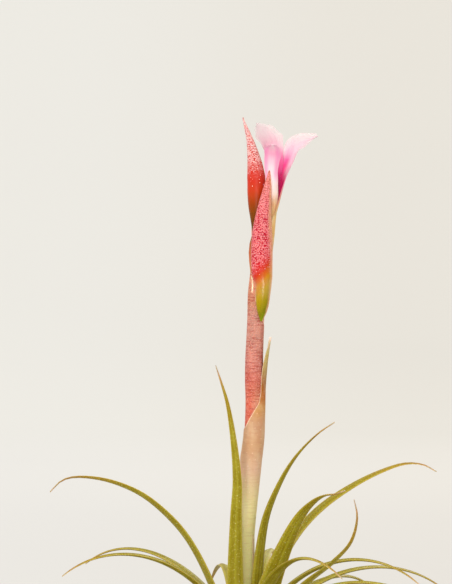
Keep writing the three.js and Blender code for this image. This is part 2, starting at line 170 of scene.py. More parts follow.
def tube(levels, sides):
    """A closed column through rings. A level has its middle and its radius, at one or every angle."""
    angle = np.linspace(0, 2 * pi, sides, endpoint=False)
    rings = []
    for middle, radius in levels:
        r = radius(angle) if callable(radius) else np.full(sides, radius)
        ring = np.column_stack([r * np.cos(angle), r * np.sin(angle), np.zeros(sides)])
        rings.append(np.array(middle) + ring)
    faces = []
    for k in range(len(levels) - 1):
        for i in range(sides):
            j = (i + 1) % sides
            faces.append((k * sides + i, k * sides + j, (k + 1) * sides + j, (k + 1) * sides + i))
    points = np.vstack([*rings, levels[0][0], levels[-1][0]])
    last = (len(levels) - 1) * sides
    bottom, top = len(points) - 2, len(points) - 1
    for i in range(sides):
        j = (i + 1) % sides
        faces.append((bottom, j, i))
        faces.append((top, last + i, last + j))
    share = np.repeat(np.linspace(0, 1, len(levels)), sides)
    return Patch(points, faces, along=np.append(share, [0, 1]), across=0.0, inner=0.0, tint=0.5)


# Shader maths


class Value:
    """A shader value. Arithmetic on it adds Math nodes."""

    def __init__(self, finish, socket):
        self.finish = finish
        self.socket = socket

    def _math(self, operation, first, second=0.0):
        return self.finish.node("ShaderNodeMath", {"operation": operation}, {0: first, 1: second})

    def __add__(self, other):
        return self._math("ADD", self, other)

    def __sub__(self, other):
        return self._math("SUBTRACT", self, other)

    def __rsub__(self, other):
        return self._math("SUBTRACT", other, self)

    def __mul__(self, other):
        return self._math("MULTIPLY", self, other)

    def size(self):
        return self._math("ABSOLUTE", self)

    def sine(self):
        return self._math("SINE", self)


def srgb(colour, lighter=0):
    """A colour as the shaders take it, from its code, or with eight-bit parts that much higher."""
    parts = [min(255, (colour >> shift & 255) + lighter) / 255 for shift in (16, 8, 0)]
    linear = [p / 12.92 if p <= 0.04045 else ((p + 0.055) / 1.055) ** 2.4 for p in parts]
    return (*linear, 1.0)


class Finish:
    """A material in the making: a tree of nodes that ends in one Principled shader.

    Its body is the colour so far, and each wash is laid over it.
    """

    def __init__(self, name):
        self.material = bpy.data.materials.new(name)
        self.material.use_nodes = True
        self.tree = self.material.node_tree
        self.tree.nodes.clear()
        self.body = None
        metres = {0: self.node("ShaderNodeTexCoord", out="Object"), "Scale": 1 / MM}
        self.place = self.node("ShaderNodeVectorMath", {"operation": "SCALE"}, metres)
        self.height = self.axis("Z")

    def node(self, kind, settings=None, sockets=None, out=0):
        """A node's output: the node gets its settings first, then the values or links of its sockets."""
        made = self.tree.nodes.new(kind)
        for key, value in (settings or {}).items():
            setattr(made, key, value)
        for key, value in (sockets or {}).items():
            if isinstance(value, Value):
                self.tree.links.new(value.socket, made.inputs[key])
            else:
                made.inputs[key].default_value = value
        return Value(self, made.outputs[out]) if made.outputs else made

    def axis(self, letter):
        """How far a place lies along one axis, in millimetres."""
        return self.node("ShaderNodeSeparateXYZ", {}, {0: self.place}, out=letter)

    def number(self, name):
        """A number that the piece's points carry."""
        return self.node("ShaderNodeAttribute", {"attribute_name": name}, out="Fac")

    def mixed(self, share, first, second, blend="MIX"):
        """Two colours mixed."""
        settings = {"data_type": "RGBA", "blend_type": blend}
        return self.node("ShaderNodeMix", settings, {0: share, 6: first, 7: second}, out=2)

    def wash(self, share, colour):
        """Lays a colour over the body, as thickly as the share says."""
        self.body = self.mixed(share, self.body, srgb(colour))

    def between(self, value, low, high, start=0.0, end=1.0):
        """Goes smoothly from start to end while the value goes from low to high."""
        ends = {"Value": value, "From Min": low, "From Max": high, "To Min": start, "To Max": end}
        return self.node("ShaderNodeMapRange", {"interpolation_type": "SMOOTHSTEP"}, ends)

    def colours(self, value, stops):
        """A colour for a value, from stops of the value and the colour's code."""
        low, high = stops[0][0], stops[-1][0]
        ends = {"Value": value, "From Min": low, "From Max": high}
        share = self.node("ShaderNodeMapRange", {}, ends)
        made = self.node("ShaderNodeValToRGB", {}, {0: share}, out="Color")
        elements = made.socket.node.color_ramp.elements
        while len(elements) < len(stops):
            elements.new(0.5)
        for element, (place, colour) in zip(elements, stops):
            element.position = (place - low) / (high - low)
            element.color = srgb(colour)
        return made

    def noise(self, size, detail=2.0, vector=None):
        """Soft noise from 0 to 1 with grains of a size in millimetres."""
        sockets = {"Vector": vector or self.place, "Scale": 1 / size, "Detail": detail}
        return self.node("ShaderNodeTexNoise", {}, sockets)

    def cells(self, size, vector=None):
        """Distance from the middle of the nearest cell, for cells of a size in millimetres."""
        sockets = {"Vector": vector or self.place, "Scale": 1 / size}
        return self.node("ShaderNodeTexVoronoi", {}, sockets, out="Distance")

    def stretched(self, x, y, z):
        """The place with its axes scaled, for a pattern that is longer one way."""
        sockets = {0: self.place, 1: (x, y, z)}
        return self.node("ShaderNodeVectorMath", {"operation": "MULTIPLY"}, sockets)

    def relief(self, height, depth):
        """A normal with a relief of a depth in millimetres."""
        sockets = {"Height": height, "Strength": 1.0, "Distance": depth * MM}
        return self.node("ShaderNodeBump", {}, sockets)

    def made(self, **sockets):
        """Ends the tree with the shader, whose sockets are named with _ for a space."""
        named = {key.replace("_", " "): value for key, value in sockets.items()}
        shader = self.node("ShaderNodeBsdfPrincipled", {}, {"Base Color": self.body, **named})
        self.node("ShaderNodeOutputMaterial", {}, {"Surface": shader})
        return self.material


LIVING = {
    "Subsurface_Weight": 0.2,
    "Subsurface_Radius": (1.0, 0.45, 0.25),
    "Subsurface_Scale": 0.5 * MM,
    "Specular_IOR_Level": 0.12,
}


def leaf_finish():
    f = Finish("leaf")
    share, side, tint = f.number("along"), f.number("across"), f.number("tint")
    fresh = f.colours(share, [
        (0, 0xbcb565), (0.1, 0xa09734), (0.22, 0x877a0f), (0.5, 0x837606), (0.75, 0x8d7e11),
        (0.9, 0x967f20), (0.955, 0xbe9055), (0.985, 0xd2b39c), (1, 0xdec5b8)])
    dull = f.colours(share, [
        (0, 0xada057), (0.2, 0x958828), (0.5, 0x8d7c10), (0.72, 0x94801d), (0.87, 0xaa7532),
        (0.94, 0xb78369), (1, 0xd5b4a8)])
    f.body = f.mixed(tint, fresh, dull)
    f.wash(f.between(f.noise(2.4, 3.0), 0.42, 0.62) * 0.2, 0xb4aa3a)
    stripes = f.between((side * 7.0 + f.noise(3.0) * 2.0).sine(), 0.1, 0.9)
    f.wash(stripes * 0.3, 0xb0a932)
    scales = f.between(f.cells(0.3), 0.42, 0.2)
    f.wash(scales * 0.3, 0xc0b65c)
    flecks = f.between(f.cells(0.55, f.stretched(1, 1, 1.8)), 0.22, 0.1)
    f.wash(flecks * 0.5, 0x705610)
    f.wash(f.between(side.size(), 0.8, 1.0) * 0.3, 0xccb468)
    ribs = (side * 16.0).sine()
    rough = f.between(scales, 0, 1, 0.42, 0.62)
    return f.made(Roughness=rough, Normal=f.relief(ribs * 0.5 + scales, 0.03), **LIVING)


def withered_finish():
    f = Finish("withered_leaf")
    share = f.number("along")
    f.body = f.colours(share, [(0, 0x7a583a), (0.3, 0x9e7a54), (0.7, 0xba9a70), (1, 0x96704e)])
    fibres = f.noise(0.5, 4.0)
    f.wash(f.between(fibres, 0.35, 0.65) * 0.6, 0xd6be96)
    normal = f.relief((f.number("across") * 22.0).sine() * 0.5 + fibres, 0.08)
    return f.made(Roughness=0.85, Normal=normal)


def bark_finish():
    f = Finish("woody_foot")
    fibres = f.noise(0.5, 5.0, f.stretched(1, 1, 0.22))
    rings = f.noise(0.7, 2.0, f.stretched(0.25, 0.25, 1.0))
    f.body = f.mixed(f.between(fibres, 0.35, 0.65), srgb(0x5c3e2a), srgb(0x9c7854))
    f.wash(f.between(rings, 0.5, 0.7) * 0.5, 0x462e20)
    return f.made(Roughness=0.9, Normal=f.relief(fibres + rings, 0.25))


def silver_scales(f, silver, size, cover, where=1.0):
    """Lays a coat of round pale scales over the body, and gives its thickness at each place."""
    scales = f.between(f.cells(size, f.stretched(1, 1, 1.3)), 0.74, 0.42)
    patches = f.between(f.noise(size * 2.6), 0.34, 0.58)
    coat = scales * (patches * 0.4 + 0.6) * where
    f.body = f.mixed(coat * cover, f.body, silver)
    return coat


def scape_bract_finish(
    name, stops, silver, size=0.3, cover=0.2, bright=0.35, cracked=0.12, redness=None, painted_highlight=None
):
    """Coloured by height, with fine scales, faint cracks across and pale margins.

    bright says how far the scales stand out, and cracked how plain the cracks are. redness gives
    the lower and upper height and the colour of a red flush on the left, with which the right side
    is darkened, partly for its own brown-red margin and partly as painted shade; and the last
    argument gives the lower and upper height of a painted highlight, a pale streak that faces the front.
    """
    f = Finish(name)
    side = f.number("across")
    x = f.axis("X")
    f.body = f.colours(f.height + f.noise(1.2) * 1.6 - 0.8, stops)
    pale = f.mixed(bright, f.body, srgb(silver))
    clouds = f.between(f.noise(1.5, 3.0, f.stretched(1, 1, 0.45)), 0.42, 0.68)
    f.body = f.mixed(clouds * 0.6, f.body, pale)
    if redness:
        low, high, colour = redness
        flush = f.between(x + f.noise(0.6) * 0.8, 2.3, 0.8) * f.between(f.height, high, low)
        f.wash(flush * 0.85, colour)
        # Darker to the right: partly the brown-red overlapping margin, partly painted shade on that side
        right = f.between(x, 1.9, 2.6) * f.between(f.height, 46, 48)
        f.wash(right * 0.6, 0x9e4c34)
    coat = silver_scales(f, pale, size, cover)
    cracks = f.between(f.noise(0.5, 3.0, f.stretched(0.35, 0.35, 2.4)), 0.48, 0.36)
    f.wash(cracks * cracked, 0xa64234)
    f.wash(f.between(side.size(), 0.93, 0.99) * 0.8, 0xf0ceb2)
    # A painted highlight: a pale beaded streak near the front margin, between two heights
    if painted_highlight:
        low, high = painted_highlight
        highlight_streak = f.between(side, 0.56, 0.64) * f.between(side, 0.78, 0.72)
        highlight_streak = highlight_streak * f.between(f.height, low, low + 0.5) * f.between(f.height, high, high - 0.5)
        highlight_beads = f.between(f.noise(0.16, 1.0), 0.36, 0.54, 0.45, 1.0)
        f.wash(highlight_streak * highlight_beads, 0xffe8c4)
    rough = f.between(coat, 0, 1, 0.42, 0.6)
    normal = f.relief(coat * cover - cracks * cracked, 0.05)
    return f.made(Roughness=rough, Normal=normal, **LIVING)


def floral_bract_finish(
    name, stops, coat, silver, margin, edge=(0.8, 1.08), lean=0.0, slant=0.0, size=0.27,
    cover=0.85, gloss=0.3
):
    """Smooth below one height, and covered in scales above another.

    slant is how much lower each colour lies for each millimetre to the left, near the bract's foot,
    and edge says between which shares of the half width the margin's colour comes in. lean makes
    that band wider on one side than on the other.
    The smooth part is glossy where it swells, just under the scales.
    """
    coat_from, coat_to = coat
    f = Finish(name)
    side = (f.number("across") + lean).size()
    slope = (f.axis("X") - 2.2) * slant
    level = f.height - slope * f.between(f.height, coat_to + 2.5, coat_to - 1.0)
    f.body = f.colours(level + f.noise(0.7) * 0.6 - 0.3, stops)
    where = f.between(level + f.noise(0.8) * 2.0 - 1.0, coat_from, coat_to)
    coat = silver_scales(f, srgb(silver), size, cover, where)
    pale = f.between(side + f.noise(0.9) * 0.16, *edge)
    f.wash(pale * 0.75, margin)
    f.wash(f.number("inner") * 0.35, 0xecb096)
    swell = f.between(f.height, coat_from - 3.8, coat_from - 2.2)
    swell = swell * f.between(f.height, coat_from, coat_from - 1.2)
    return f.made(
        Roughness=f.between(where, 0, 1, 0.35, 0.5),
        Coat_Weight=f.between(where, 1.0, 0.0) * swell * gloss,
        Coat_Roughness=0.3,
        Normal=f.relief(coat, 0.06),
        **LIVING,
    )


def scale_finish(name, colour):
    """The small pale scales that stand on the tissue."""
    f = Finish(name)
    shade = f.noise(0.4, 1.0)
    f.body = f.mixed(shade, srgb(colour), srgb(colour, 14))
    return f.made(Roughness=0.5, Subsurface_Weight=0.3, Subsurface_Scale=0.2 * MM)


def sepal_finish(name, stops):
    f = Finish(name)
    f.body = f.colours(f.height, stops)
    veins = f.noise(0.3, 2.0, f.stretched(1, 1, 0.12))
    f.wash(f.between(veins, 0.45, 0.62) * 0.3, 0xf4e2b8)
    return f.made(Roughness=0.36, Normal=f.relief(veins, 0.03), **LIVING)


def petal_finish(name, outside, throat, pale_from, thin, flush, wing):
    """Two colours along the petal, for its outside and for the throat, and thin pale margins.

    pale_from is the share of the length from where the margins are pale, thin says how much light
    comes through the tip, flush how pink the outside is on both sides of a middle that stays pale as a
    painted highlight, and wing how pale one side of the throat is.
    """
    f = Finish(name)
    share, across, inside = f.number("along"), f.number("across"), f.number("inner")
    side = across.size()
    cloud = f.noise(1.3) * 0.08 - 0.04
    f.body = f.mixed(inside, f.colours(share + cloud, outside), f.colours(share + cloud, throat))
    # Pink on both sides of the middle, which is left pale as a painted highlight
    sides = f.between(side, 0.2, 0.7) * f.between(share, 0.45, 0.6) * (1.0 - inside)
    f.wash(sides * flush, 0xf084b6)
    pale_wing = f.between(across, 0.3, -0.3) * f.between(share, 0.38, 0.5)
    f.wash(pale_wing * inside * wing, 0xf0c4d2)
    margin = f.between(side, 0.45, 1.0) * f.between(share, pale_from, pale_from + 0.2)
    f.wash(margin * 0.6, 0xeedcdc)
    veins = f.between((across * 26.0 + f.noise(1.6) * 5.0).sine(), 0.4, 1.0)
    f.wash(veins * 0.07, 0xe26ea0)
    alpha = 1.0 - f.between(share, 0.55, 0.9) * thin - margin * 0.25
    return f.made(
        Roughness=0.5, Alpha=alpha, Normal=f.relief(veins, 0.015), Specular_IOR_Level=0.3,
        Subsurface_Weight=0.4, Subsurface_Radius=(1.0, 0.6, 0.7), Subsurface_Scale=0.6 * MM,
    )


def plain_finish(name, colour, other, size, rough):
    f = Finish(name)
    grain = f.noise(size, 3.0)
    f.body = f.mixed(f.between(grain, 0.35, 0.65), srgb(colour), srgb(other))
    return f.made(Roughness=rough, Normal=f.relief(grain, size * 0.2))


# Scales that stand on leaves and bracts

SCALE_DOME = {"Vertices": 6, "Radius Top": 0.35, "Radius Bottom": 1.0, "Depth": 0.3}
SCALE_LEAST = 0.6  # the least of a scale's random size, against the given radius
SCALE_MOST = 1.25
SCALE_DENSITY = 9e7  # points on a square metre, before the spacing thins them


def scale_tree():
    """A tree that scatters small domed scales over the places that carry the number scaly."""
    tree = bpy.data.node_groups.new("scales", "GeometryNodeTree")
    asked = {"Geometry": "Geometry", "Spacing": "Float", "Radius": "Float", "Lean": "Float",
             "Seed": "Int", "Finish": "Material"}
    for name, kind in asked.items():
        tree.interface.new_socket(name, in_out="INPUT", socket_type="NodeSocket" + kind)
    tree.interface.new_socket("Geometry", in_out="OUTPUT", socket_type="NodeSocketGeometry")

    def add(kind, sockets=None, out=0, **settings):
        """A node's output. Its sockets take values, or other nodes' outputs as links."""
        made = tree.nodes.new(kind)
        for key, value in settings.items():
            setattr(made, key, value)
        for key, value in (sockets or {}).items():
            if isinstance(value, bpy.types.NodeSocket):
                tree.links.new(value, made.inputs[key])
            else:
                made.inputs[key].default_value = value
        return made.outputs[out]

    given = tree.nodes.new("NodeGroupInput").outputs
    where = add("GeometryNodeInputNamedAttribute", {"Name": "scaly"}, "Attribute", data_type="FLOAT")
    sockets = {"Mesh": given["Geometry"], "Distance Min": given["Spacing"], "Density Factor": where,
               "Density Max": SCALE_DENSITY, "Seed": given["Seed"]}
    scatter_points = "GeometryNodeDistributePointsOnFaces"
    points = add(scatter_points, sockets, "Points", distribute_method="POISSON")

    # Each scale leans by up to the given angle either way, and is turned at random
    lean = add("ShaderNodeVectorMath", {0: given["Lean"], 1: (1.0, 1.0, 0.0)}, operation="MULTIPLY")
    least = add("ShaderNodeVectorMath", {0: lean, "Scale": -1.0}, operation="SCALE")
    most = add("ShaderNodeVectorMath", {0: lean, 1: (0.0, 0.0, 2 * pi)}, operation="ADD")
    sockets = {"Min": least, "Max": most, "Seed": given["Seed"]}
    spin = add("FunctionNodeRandomValue", sockets, "Value", data_type="FLOAT_VECTOR")
    sockets = {"Rotation": points.node.outputs["Rotation"], "Rotate By": spin}
    turned = add("FunctionNodeRotateRotation", sockets, rotation_space="LOCAL")

    sockets = {2: SCALE_LEAST, 3: SCALE_MOST, "Seed": given["Seed"]}
    size = add("FunctionNodeRandomValue", sockets, 1, data_type="FLOAT")
    radius = add("ShaderNodeMath", {0: size, 1: given["Radius"]}, operation="MULTIPLY")
    dome = add("GeometryNodeMeshCone", SCALE_DOME, "Mesh", fill_type="NGON")
    sockets = {"Points": points, "Instance": dome, "Rotation": turned, "Scale": radius}
    placed = add("GeometryNodeInstanceOnPoints", sockets)
    real = add("GeometryNodeRealizeInstances", {"Geometry": placed})
    painted = add("GeometryNodeSetMaterial", {"Geometry": real, "Material": given["Finish"]})
    both = add("GeometryNodeJoinGeometry", {"Geometry": painted})
    tree.links.new(given["Geometry"], both.node.inputs["Geometry"])
    tree.links.new(both, tree.nodes.new("NodeGroupOutput").inputs["Geometry"])
    return tree


SCALE_TREE = scale_tree()


def scatter(thing, spacing, radius, lean, seed, finish):
    """Puts scales on a piece and keeps the result as a plain mesh."""
    modifier = thing.modifiers.new("scales", "NODES")
    modifier.node_group = SCALE_TREE
    values = {"Spacing": spacing * MM, "Radius": radius * MM, "Lean": radians(lean),
              "Seed": seed, "Finish": finish}
    for item in SCALE_TREE.interface.items_tree:
        if item.in_out == "INPUT" and item.name in values:
            modifier[item.identifier] = values[item.name]
    graph = bpy.context.evaluated_depsgraph_get()
    made = bpy.data.meshes.new_from_object(thing.evaluated_get(graph))
    thing.modifiers.clear()
    thing.data = made


# Pieces

SHARP = radians(48)  # faces that meet at more than this keep an edge between them
plant_pieces = bpy.data.collections.new("plant_pieces")


def piece(name, node, patches, material, scaly=None, scales=None):
    """One object from patches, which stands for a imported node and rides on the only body.

    scaly is the rule for where scales stand on it, and scales gives their spacing, radius, lean in
    degrees, seed and finish.
    """
    points, faces = [], []
    for patch in patches:
        start = len(points)
        points.extend(patch.points * MM)
        faces.extend(tuple(start + int(i) for i in face) for face in patch.faces)
    mesh = bpy.data.meshes.new(name)
    mesh.from_pydata(points, [], faces)
    numbers = {
        key: np.concatenate([patch.numbers[key] for patch in patches])
        for key in ("along", "across", "inner", "tint")
    }
    if scaly:
        numbers["scaly"] = scaly(np.array(points) / MM, numbers)
    for key, values in numbers.items():
        mesh.attributes.new(key, "FLOAT", "POINT").data.foreach_set("value", values)
    mesh.shade_smooth()
    mesh.set_sharp_from_angle(angle=SHARP)
    mesh.materials.append(material)
    thing = link(bpy.data.objects.new(name, mesh))
    plant_pieces.objects.link(thing)
    if scales:
        scatter(thing, *scales)
    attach(thing, "root")
    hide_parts(node)


# Leaves

LEAF_HALF = [(0, 2.3), (0.14, 1.5), (1, 0.07)]
LEAF_CURL = [(0, 62), (0.3, 40)]
LEAF_MID = [(0, 0.95), (0.5, 0.6), (1, 0.16)]
LEAF_EDGE = [(0, 0.2), (0.3, 0.1), (1, 0.05)]
LEAF_GRID = (44, 8)  # steps along and across, as in the other grids
REST_HEIGHT = 0.09  # the lowest that a leaf's path runs above the resting surface
PATH_STEPS = 24


def leaf_section(share, sides, breadth=1.0):
    curl = np.radians(along(LEAF_CURL, share))
    radius = breadth * along(LEAF_HALF, share) / curl
    mid, edge = along(LEAF_MID, share), along(LEAF_EDGE, share)
    return {"radius": radius, "curl": curl, "mid": mid, "edge": edge}


def laid_down(patch):
    """Keeps a leaf on or above the resting surface."""
    patch.points[:, 2] = np.maximum(patch.points[:, 2], 0.0)
    return patch


def ruled_leaf(azimuth, height, start, end, length, sway, reach, tint, section=leaf_section):
    """A leaf that leaves the stem at one angle above the horizon and bends to another."""
    turn = radians(azimuth)
    point = [reach * cos(turn), reach * sin(turn), height]
    path = [tuple(point)]
    step = length / PATH_STEPS
    for k in range(PATH_STEPS):
        share = (k + 0.5) / PATH_STEPS
        rise = radians(mix(start, end, share**1.25))
        heading = turn + radians(sway) * share**2
        point[0] += step * cos(rise) * cos(heading)
        point[1] += step * cos(rise) * sin(heading)
        point[2] = max(REST_HEIGHT, point[2] + step * sin(rise))
        path.append(tuple(point))
    return laid_down(blade(path, azimuth, *LEAF_GRID, section, tint=tint))


# Leaves that stand above the rosette: the side that each grows on, its tilt, its breadth against
# the others, its tint and its path
TALL_LEAVES = [
    (-100, 0, 0.98, 0.1, [
        (-0.8, -1.7, 15), (-1.4, -2.5, 24), (-1.33, -2.9, 35), (-1.14, -3, 40), (-1.53, -3, 45),
        (-2.43, -3.1, 50.8), (-3.22, -3.2, 53.6), (-4.1, -3.3, 56.3)]),
    (-40, 0, 1.08, 0.35, [
        (1.5, -0.9, 16), (1.95, -1.5, 25), (2.45, -1.8, 31), (3.25, -2.2, 35.4), (5.2, -3, 40.3),
        (6.8, -3.5, 43.1), (8.38, -4, 45.1), (10.35, -4.6, 47), (12.4, -5.2, 48.45)]),
    (180, 30, 1.4, 0.6, [
        (-1.9, 0.2, 14), (-3.4, 0.5, 20.5), (-5.8, 0.8, 27), (-8.4, 1, 31.8), (-11, 1, 34.9),
        (-14.4, 1, 37.75), (-17.8, 1, 39.4), (-21, 0.9, 40.25), (-24.2, 0.7, 40.42),
        (-25.7, 0.6, 39.95), (-27.3, 0.5, 38.4)]),
    (8, 26, 1.35, 0.5, [
        (1.9, 0.2, 15), (3.1, 0.4, 21.5), (5.2, 0.8, 28), (7.8, 1.3, 32.6), (10.8, 1.8, 35.85),
        (14.6, 2.4, 38.6), (18.7, 3, 40.8), (22.7, 3.6, 42.15), (25.2, 4, 42), (27.1, 4.3, 41)]),
    (-80, 0, 1.45, 0.15, [
        (1.2, -1.5, 16), (2.4, -3, 22), (4.8, -5.6, 29.4), (7.5, -8.8, 35.55), (9.42, -11.2, 37.9),
        (10.75, -12.8, 38.8), (12, -14.2, 39.1), (13.4, -15.4, 39.7)]),
    (-58, 0, 1, 0.5, [
        (1.1, -1.7, 12), (3.6, -5.6, 19), (7.6, -12, 26), (11.8, -18.6, 30.4), (14, -22.4, 33.6),
        (14.65, -23.8, 36.9), (14.2, -24.4, 39.2)]),
]

RULED_LEAVES = 40
LOWEST_LEAF = 7.9
HIGHEST_LEAF = 18.4
FOOT_TOP = 7
CROWN = 21


def leaves():
    stem = tube([((0, 0, FOOT_TOP), 2.6), ((0, 0, 13), 2.5), ((0, 0, CROWN), 2.0)], 24)
    made = [stem]
    for azimuth, tilt, breadth, tint, path in TALL_LEAVES:
        section = partial(leaf_section, breadth=breadth)
        made.append(blade(path, azimuth, *LEAF_GRID, section, tilt, tint))
    for i in range(RULED_LEAVES):
        age = 1 - i / (RULED_LEAVES - 1)
        made.append(ruled_leaf(
            azimuth=i * GOLDEN_ANGLE + 20 + 16 * (chance(i, 1) - 0.5),
            height=mix(HIGHEST_LEAF, LOWEST_LEAF, age),
            start=mix(64, 6, age) + 10 * (chance(i, 2) - 0.5),
            end=mix(-36, -50, age) + 24 * (chance(i, 3) - 0.5),
            length=mix(31, 36.5, age) + 5 * (chance(i, 4) - 0.5),
            sway=34 * (chance(i, 5) - 0.5),
            reach=mix(1.75, 2.1, age),
            tint=min(1.0, 0.25 + 0.6 * age + 0.3 * (chance(i, 10) - 0.5)),
        ))
    return made


# The woody foot and its withered leaves

WITHERED_LEAVES = 13
WITHERED_CURL = 1.25  # how much further they curl than fresh leaves
FOOT = [(0, 2.3), (0.4, 2.55), (2, 2.9), (4.5, 2.85), (FOOT_TOP, 2.7)]
FOOT_RINGS = 26
FOOT_RIDGE = 0.08  # how far every other ring lies in


def withered_section(share, sides):
    form = leaf_section(share, sides)
    form["curl"] = form["curl"] * WITHERED_CURL
    form["radius"] = form["radius"] / WITHERED_CURL
    form["mid"] = form["mid"] * 0.45
    form["wave"] = 0.05 * np.sin(share * 31 + sides * 3) * np.abs(sides)
    return form


def foot():
    levels = []
    for k, z in enumerate(np.linspace(0, FOOT_TOP, FOOT_RINGS)):
        radius = along(FOOT, z) - FOOT_RIDGE * (k % 2) * (0 < k < FOOT_RINGS - 1)
        levels.append(((0, 0, z), lambda a, r=radius, z=z: r - 0.05 * (1 + np.sin(7 * a + 5 * z))))
    return [tube(levels, 48)]


def withered_leaves():
    return [ruled_leaf(
        azimuth=i * GOLDEN_ANGLE + 75,
        height=mix(2.2, 4.8, i / WITHERED_LEAVES),
        start=-18 + 16 * (chance(i, 6) - 0.5),
        end=30 * (chance(i, 7) - 0.6),
        length=13 + 7 * chance(i, 8),
        sway=90 * (chance(i, 9) - 0.5),
        reach=2.1,
        tint=chance(i, 11),
        section=withered_section,
    ) for i in range(WITHERED_LEAVES)]


# The scape, its bracts and the rachis

SHOULDER = 64
SCAPE_X = [
    (CROWN, 0), (28, 0.05), (35, 0.18), (43, 0.84), (46, 1.21), (51.4, 1.41), (57, 1.36), (60, 1.52),
    (SHOULDER, 1.74)]
SCAPE_RADIUS = [
    (CROWN, 1.2), (28, 1.28), (35, 1.37), (43, 1.54), (46, 1.49), (51.4, 1.42), (57, 1.26), (60, 1.24),
    (SHOULDER, 1.3)]
BRACT_RELIEF = 0.26  # how far the bare stalk lies inside its bracts
SCAPE_BRACT_GRID = (90, 44)
RACHIS = [
    (60, 1.45, 0.1, 0.8), (66, 1.4, 0.55, 0.62), (69.5, 1.26, 0.7, 0.53), (70.8, 1.12, 0.8, 0.54),
    (72, 1.06, 0.85, 0.54), (73.3, 1.16, 0.95, 0.52), (74.7, 1.52, 1.15, 0.5), (75, 1.6, 1.2, 0.48),
    (75.2, 1.61, 1.2, 0.43), (75.35, 1.61, 1.2, 0.36)]
SHOULDER_DOME = 1.0  # how far the stalk's rounded end rises


def stalk():
    """The bare scape inside its bracts, and the rachis that goes on behind the open flower."""
    column = []
    for z in np.linspace(CROWN, SHOULDER, 60):
        column.append(((along(SCAPE_X, z), 0, z), along(SCAPE_RADIUS, z) - BRACT_RELIEF))
    middle, radius = column[-1]
    for turn in np.radians([15, 30, 45, 60, 75, 85]):
        top = (middle[0], middle[1], middle[2] + SHOULDER_DOME * sin(turn))
        column.append((top, radius * cos(turn)))
    return [tube(column, 40), tube([((x, y, z), r) for z, x, y, r in RACHIS], 28)]


def scape_bract(azimuth, start, end, wrap, lift, sink, tip, clasped=0.0):
    """A bract that clasps the scape, with margins that leave it as they go up.

    Up to the share clasped of its length it keeps the scape's radius, and from there it narrows.
    """
    turn = radians(azimuth)
    path = []
    for k in range(9):
        share = k / 8
        z = mix(start, end, share)
        out = along(SCAPE_RADIUS, z) + along(lift, share) - along(sink, share)
        x = along(SCAPE_X, min(z, SHOULDER)) + out * cos(turn)
        path.append((x, out * sin(turn), z))

    def section(share, sides):
        z = mix(start, end, share)
        body = along(SCAPE_RADIUS, z) - along(sink, share)
        radius = mix(body, tip, share**4 * along([(clasped, 0), (clasped + 0.12, 1)], share))
        curl, wave = np.radians(along(wrap, share)), -0.03 * np.abs(sides) ** 6
        return {"radius": radius, "curl": curl, "mid": 0.34, "edge": 0.07, "wave": wave}

    return [blade(path, azimuth, *SCAPE_BRACT_GRID, section)]


# Floral bracts: the path of each keel, the half width that shows at its places, and how far round
# the flower its margins reach there

FLORAL_BRACT_GRID = (70, 36)
FRONT_BRACT = {
    "azimuth": -92,
    "path": [
        (2.26, -1.5, 62.4), (2.35, -1.98, 63.6), (2.41, -2.2, 64.8), (2.47, -2.3, 66.4),
        (2.53, -2.32, 67.6), (2.34, -2.24, 69.4), (2.3, -2.12, 71.4), (2.34, -1.99, 73.8),
        (2.48, -1.8, 76.6), (2.85, -1.56, 79.4), (3.25, -1.3, 82), (3.5, -1.12, 84)],
    "half": [
        (0, 0.16), (0.05, 0.64), (0.1, 0.87), (0.185, 1.07), (0.24, 1.14), (0.29, 1.38), (0.34, 1.47),
        (0.42, 1.51), (0.52, 1.49), (0.6, 1.36), (0.68, 1.14), (0.79, 0.82), (0.87, 0.55), (0.93, 0.31),
        (1, 0.06)],
    "wrap": [(0, 76), (0.06, 92), (0.14, 110), (0.4, 112), (0.52, 98), (0.66, 86), (1, 76)],
}
LEFT_BRACT = {
    "azimuth": -108,
    "path": [
        (1.45, 0.14, 73.6), (1.45, -0.12, 76), (1.25, -0.22, 79), (1.23, -0.32, 82.2),
        (1.03, -0.35, 85), (0.55, -0.35, 87.8), (-0.35, -0.25, 90.9)],
    "half": [
        (0, 0.3), (0.12, 0.79), (0.25, 1.1), (0.4, 1.32), (0.52, 1.32), (0.62, 1.1), (0.72, 0.79),
        (0.82, 0.49), (0.9, 0.3), (1, 0.06)],
    "wrap": [(0, 80), (0.2, 86), (0.5, 88), (0.7, 80), (1, 76)],
}
BACK_BRACT = {
    "azimuth": 100,
    "path": [
        (1.45, 1.2, 70.0), (1.65, 1.72, 72.6), (1.85, 2.15, 75.6), (1.95, 2.5, 79), (1.8, 2.75, 82),
        (1.6, 2.85, 84.8)],
    "half": [(0, 0.28), (0.15, 0.82), (0.35, 1.1), (0.55, 1.16), (0.75, 0.77), (0.9, 0.37), (1, 0.06)],
    "wrap": [(0, 80), (0.15, 100), (0.5, 104), (0.7, 88), (1, 76)],
}


def floral_bract(azimuth, path, half, wrap):
    def section(share, sides):
        keel = 0.03 * np.exp(-((sides / 0.08) ** 2)) * np.clip(share * 3 - 1.4, 0, 1)
        curl = np.radians(along(wrap, share))
        radius = along(half, share) / np.sin(np.minimum(curl, pi / 2))
        return {"radius": radius, "curl": curl, "mid": 0.32, "edge": 0.07, "wave": -keel}

    return [blade(path, azimuth, *FLORAL_BRACT_GRID, section)]


# Sepals, petals, stamens and bud

